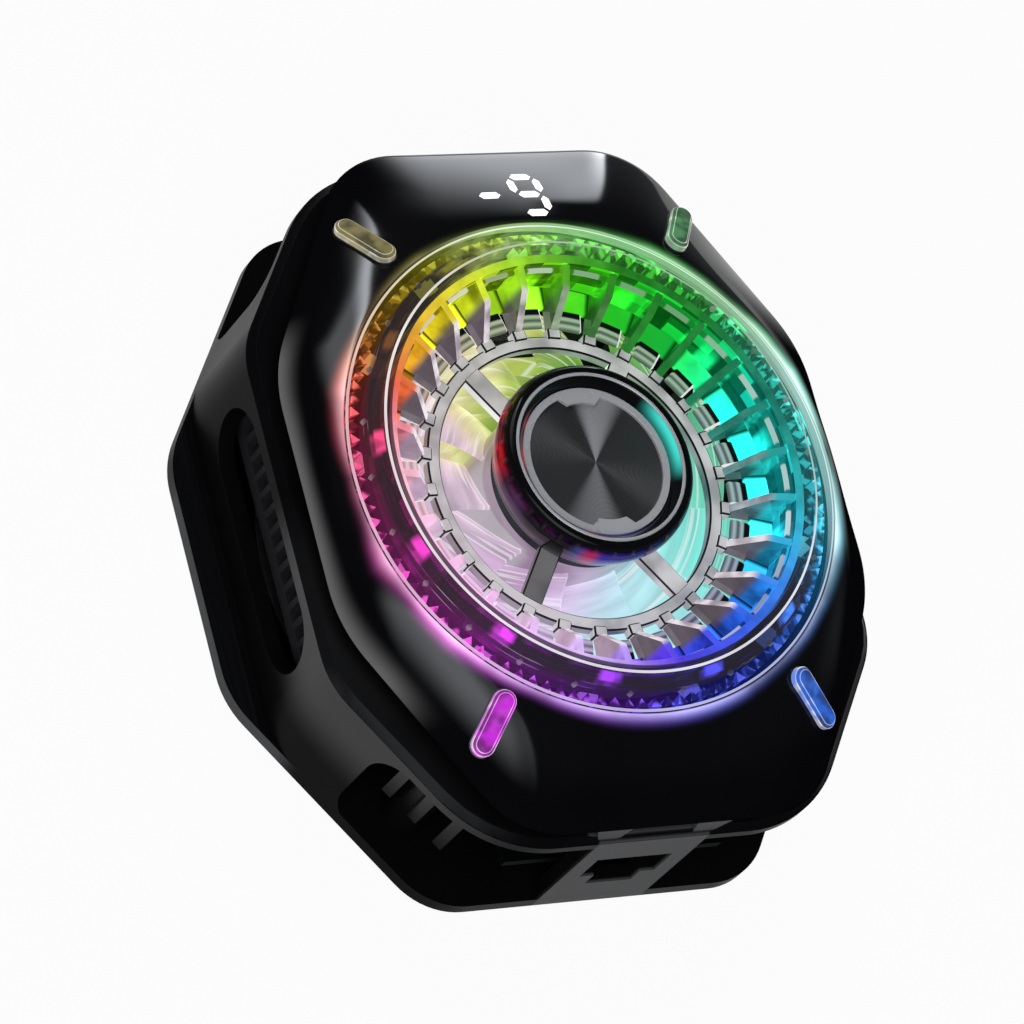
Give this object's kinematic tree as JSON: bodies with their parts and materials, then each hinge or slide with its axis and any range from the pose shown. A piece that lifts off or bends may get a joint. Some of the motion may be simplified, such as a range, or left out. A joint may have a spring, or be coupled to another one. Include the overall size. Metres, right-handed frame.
{
  "type": "phone cooling fan",
  "caption": "Palm-sized phone cooler: a lit clear-guarded fan over a finned heat sink and a cold plate, in a domed octagonal black body with a USB-C inlet.",
  "frame": {"origin": "middle of the contact face, which lies on the table", "axes": "+Z out through the fan, +Y towards the readout end, -Y towards the USB-C inlet, +X to the right of the readout"},
  "size_m": [0.0694, 0.075, 0.0273],
  "materials": {
    "cover_gloss": "piano black, polished",
    "body_black": "satin black",
    "frame_black": "matt black",
    "clear_plastic": "clear, polished",
    "bar_lens": "clear, lit from below",
    "fan_clear": "milky translucent",
    "bright_trim": "bright plated",
    "spun_metal": "spun, dark",
    "aluminium": "fine turned",
    "sink_aluminium": "black anodised",
    "pad_rubber": "soft, matt",
    "foam": "closed-cell foam",
    "ceramic": "white ceramic",
    "magnet_nickel": "nickel plated",
    "ferrite": "dark bonded ferrite",
    "steel": "plain steel",
    "screw_steel": "dark zinc",
    "board_green": "solder mask",
    "board_white": "white solder mask",
    "chip_black": "moulded black",
    "bearing_brass": "sintered",
    "copper": "enamelled copper wire",
    "led": "encapsulated",
    "segment_white": "lit white"
  },
  "bodies": {
    "body": {"contact_pad": "pad_rubber", "cold_plate": "aluminium", "peltier_module": "ceramic", "foam_gasket": "foam", "magnets": "magnet_nickel", "magnet_backing_ring": "steel", "base_plate": "body_black", "base_screws": "screw_steel", "rear_housing": "body_black", "heat_sink": "sink_aluminium", "sink_screws": "screw_steel", "control_board": "board_green", "board_chips": "chip_black", "board_screws": "screw_steel", "usb_receptacle": "steel", "usb_tongue": "chip_black", "motor_base": "frame_black", "motor_board": "board_green", "bearing_sleeve": "bearing_brass", "stator_core": "steel", "stator_windings": "copper", "mid_frame": "frame_black", "cover_screws": "screw_steel", "led_board": "board_white", "ring_leds": "led", "fan_guard": "clear_plastic", "lens_ring": "clear_plastic", "hub_cap": "cover_gloss", "hub_trim_ring": "bright_trim", "badge_ring": "bright_trim", "badge_disc": "spun_metal", "front_cover": "cover_gloss", "light_bars": "bar_lens", "display_board": "chip_black", "display_segments": "segment_white"},
    "rotor": {"impeller": "fan_clear", "rotor_yoke": "steel", "rotor_magnet": "ferrite", "rotor_shaft": "steel", "shaft_clip": "steel"}
  },
  "joints": [
    {"name": "fan_spin", "type": "hinge", "parent": "body", "child": "rotor", "pos_m": [0, 0, 0.0152], "axis": [0, 0, 1], "continuous": true}
  ]
}
